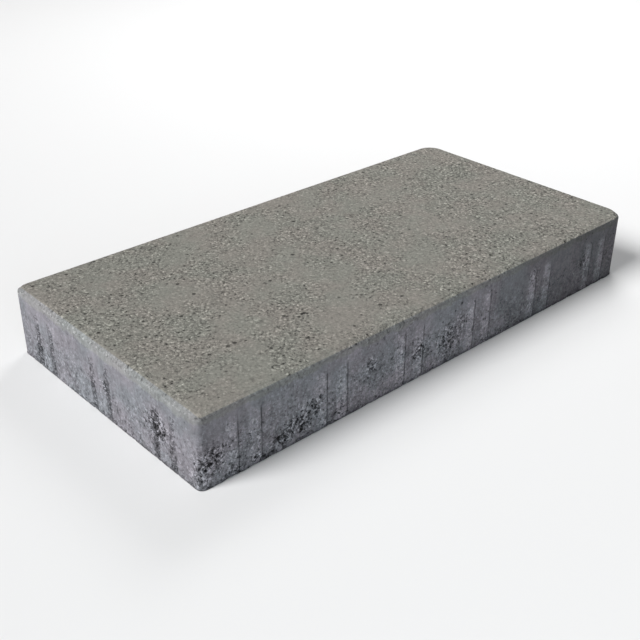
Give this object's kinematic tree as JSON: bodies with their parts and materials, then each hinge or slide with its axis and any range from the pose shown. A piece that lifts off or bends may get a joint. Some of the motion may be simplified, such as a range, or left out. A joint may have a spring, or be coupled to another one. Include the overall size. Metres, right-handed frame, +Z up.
{
  "type": "concrete paving slab",
  "caption": "Flat rectangular pressed concrete paving slab with a bevelled top arris, rounded upright corners and slim paired spacer ribs on its sides.",
  "frame": {"origin": "middle of the flat underside", "axes": "+X along the long side towards the end with the rounder corners, +Z up out of the walking face"},
  "size_m": [0.6016, 0.3016, 0.075],
  "materials": {
    "concrete": "matt, pressed fine concrete, rough"
  },
  "bodies": {
    "root": {"paving_slab": "concrete"}
  },
  "joints": []
}
